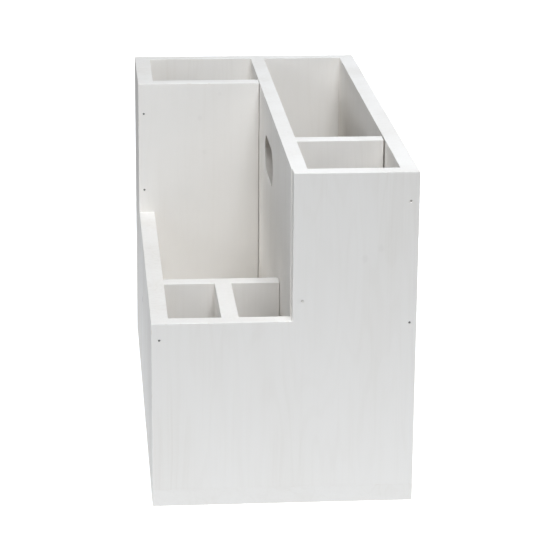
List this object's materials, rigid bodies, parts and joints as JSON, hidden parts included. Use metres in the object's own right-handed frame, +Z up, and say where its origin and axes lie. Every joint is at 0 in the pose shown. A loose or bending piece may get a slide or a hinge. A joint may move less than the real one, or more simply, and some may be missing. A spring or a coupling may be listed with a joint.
{
  "type": "magazine file holder",
  "caption": "Stepped white-washed wooden desk holder with a tall magazine bay on the right, a low open tray and small cells on the left, and a carry slot in the middle divider.",
  "frame": {"origin": "middle of the footprint, on the surface that the holder stands on", "axes": "+Z up, +Y to the back along the length of the holder, +X to the right; the front panel faces -Y and the low section is on the -X side"},
  "size_m": [0.15, 0.325, 0.196],
  "materials": {
    "white_washed_wood": "matt, thin white wash over planed softwood boards, with fine straight grain showing through and slightly eased edges",
    "nail_steel": "dull small steel nail heads, sunk just below the surface"
  },
  "bodies": {
    "root": {"bottom_board": "white_washed_wood", "back_panel": "white_washed_wood", "left_side": "white_washed_wood", "mid_divider": "white_washed_wood", "right_side": "white_washed_wood", "front_panel": "white_washed_wood", "tall_panel": "white_washed_wood", "front_cell_wall": "white_washed_wood", "small_divider": "white_washed_wood", "cross_divider": "white_washed_wood", "front_nail_left_1": "nail_steel", "front_nail_mid_1": "nail_steel", "front_nail_right_1": "nail_steel", "front_nail_right_2": "nail_steel", "tall_panel_nail_1": "nail_steel", "tall_panel_nail_2": "nail_steel", "back_nail_left_1": "nail_steel", "back_nail_left_2": "nail_steel", "back_nail_left_3": "nail_steel", "back_nail_mid_1": "nail_steel", "back_nail_mid_2": "nail_steel", "back_nail_mid_3": "nail_steel", "back_nail_right_1": "nail_steel", "back_nail_right_2": "nail_steel", "back_nail_right_3": "nail_steel", "bottom_nail_left_1": "nail_steel", "bottom_nail_left_2": "nail_steel", "bottom_nail_left_3": "nail_steel", "bottom_nail_mid_1": "nail_steel", "bottom_nail_mid_2": "nail_steel", "bottom_nail_mid_3": "nail_steel", "bottom_nail_right_1": "nail_steel", "bottom_nail_right_2": "nail_steel", "bottom_nail_right_3": "nail_steel", "bottom_nail_front_1": "nail_steel", "bottom_nail_front_2": "nail_steel", "bottom_nail_back_1": "nail_steel", "bottom_nail_back_2": "nail_steel", "bottom_nail_cell_wall": "nail_steel", "bottom_nail_cross_divider": "nail_steel", "bottom_nail_tall_panel": "nail_steel", "divider_nail_front_1": "nail_steel", "divider_nail_front_2": "nail_steel", "divider_nail_back_1": "nail_steel", "divider_nail_back_2": "nail_steel", "cell_wall_nail_1": "nail_steel", "cell_wall_nail_2": "nail_steel", "right_side_nail_1": "nail_steel", "right_side_nail_2": "nail_steel"}
  },
  "joints": []
}
